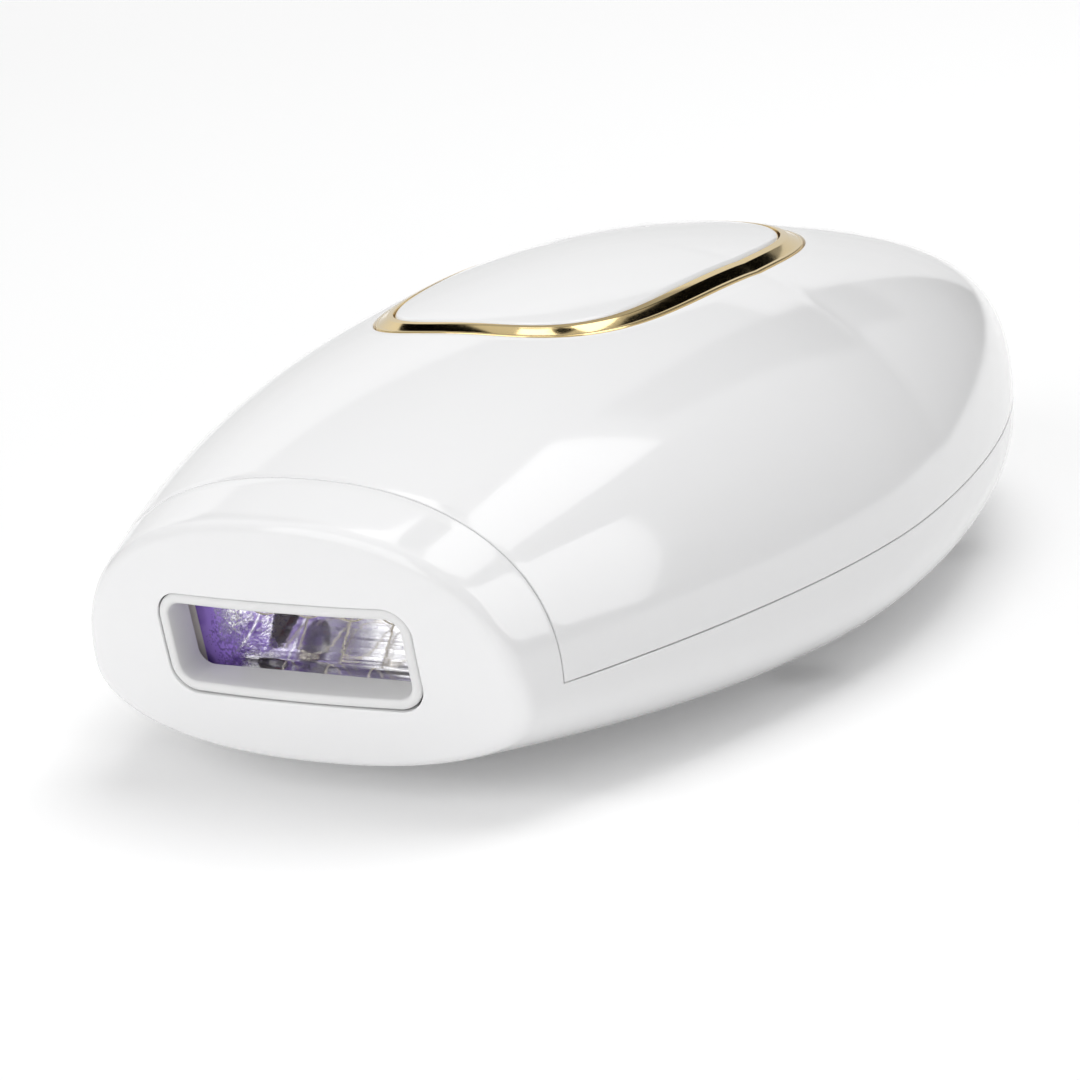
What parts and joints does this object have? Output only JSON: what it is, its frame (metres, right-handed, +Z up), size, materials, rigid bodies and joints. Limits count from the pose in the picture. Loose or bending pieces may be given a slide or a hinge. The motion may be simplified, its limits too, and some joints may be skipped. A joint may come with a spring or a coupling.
{
  "type": "ipl hair remover",
  "caption": "Hand-held pulsed-light hair remover with a rounded gloss shell, a flash key in a thin metal ring, and a lamp behind a tilted window in the nose.",
  "frame": {"origin": "middle of the bounding box's base, on the surface that the belly rests on", "axes": "+Z up, +Y from the window in the nose to the tail, +X to the left side as held with the nose pointing away"},
  "size_m": [0.0796, 0.1505, 0.0434],
  "materials": {
    "white_gloss_abs": "glossy moulded white ABS",
    "pale_gold": "anodised champagne gold, diamond cut",
    "light_grey_pc": "satin light grey polycarbonate",
    "cream_pbt": "plain cream heat-resistant moulding",
    "filter_glass": "clear pane with a faint violet coating",
    "quartz": "clear fused quartz tube",
    "mirror_aluminium": "bright rolled reflector sheet",
    "plain_aluminium": "plain extruded",
    "tungsten": "sintered metal electrode",
    "nickel_wire": "drawn nickel wire",
    "silicone": "moulded silicone rubber",
    "spring_steel": "drawn spring wire",
    "screw_steel": "zinc plated",
    "circuit_board": "green solder resist on glass fibre board",
    "black_plastic": "moulded black plastic",
    "capacitor_sleeve": "shrink sleeve",
    "ferrite": "sintered ferrite",
    "copper_winding": "enamelled copper wire",
    "red_lead": "red insulated wire",
    "white_lead": "white insulation or moulding",
    "brass": "turned brass pin"
  },
  "bodies": {
    "handset": {"board_screw_front_left": "screw_steel", "board_screw_front_right": "screw_steel", "board_screw_rear": "screw_steel", "casing_screw_front_left": "screw_steel", "casing_screw_front_right": "screw_steel", "casing_screw_rear_left": "screw_steel", "casing_screw_rear_right": "screw_steel", "contact_spring_left": "spring_steel", "contact_spring_right": "spring_steel", "contact_switch": "black_plastic", "control_board": "circuit_board", "control_lead": "white_lead", "control_screw_left": "screw_steel", "control_screw_right": "screw_steel", "dc_inlet": "black_plastic", "dc_inlet_pin": "brass", "fan_frame": "black_plastic", "fan_lead": "red_lead", "filter_glass": "filter_glass", "flash_button_spring": "spring_steel", "flash_capacitor": "capacitor_sleeve", "flash_lamp": "quartz", "flash_switch": "black_plastic", "heat_sink": "plain_aluminium", "inlet_lead": "red_lead", "lamp_boot_left": "silicone", "lamp_boot_right": "silicone", "lamp_electrode_left": "tungsten", "lamp_electrode_right": "tungsten", "lamp_holder": "cream_pbt", "lamp_lead_left": "red_lead", "lamp_lead_right": "red_lead", "lamp_reflector": "mirror_aluminium", "lower_casing": "white_gloss_abs", "main_board": "circuit_board", "power_transistor": "black_plastic", "transformer_core": "ferrite", "transformer_winding": "copper_winding", "trigger_coil": "white_lead", "trigger_wire": "nickel_wire", "trim_ring": "pale_gold", "upper_casing": "white_gloss_abs"},
    "flash_button": {"flash_button": "white_gloss_abs", "flash_switch_plunger": "white_lead"},
    "contact_frame": {"contact_frame": "light_grey_pc", "contact_switch_plunger": "light_grey_pc"},
    "fan_rotor": {"fan_rotor": "black_plastic"}
  },
  "joints": [
    {"name": "flash_button_press", "type": "slide", "parent": "handset", "child": "flash_button", "axis": [0, 0, -1], "range_m": [0, 0.0006], "stiffness_N_per_m": 400, "springref_m": -0.001, "deforming": ["flash_button_spring"]},
    {"name": "contact_frame_press", "type": "slide", "parent": "handset", "child": "contact_frame", "axis": [0, 0.9812, 0.193], "range_m": [0, 0.0008], "stiffness_N_per_m": 300, "springref_m": -0.001, "deforming": ["contact_spring_left", "contact_spring_right"]},
    {"name": "fan_spin", "type": "hinge", "parent": "handset", "child": "fan_rotor", "pos_m": [0, -0.03141, 0.0197], "axis": [0, 1, 0], "continuous": true}
  ]
}
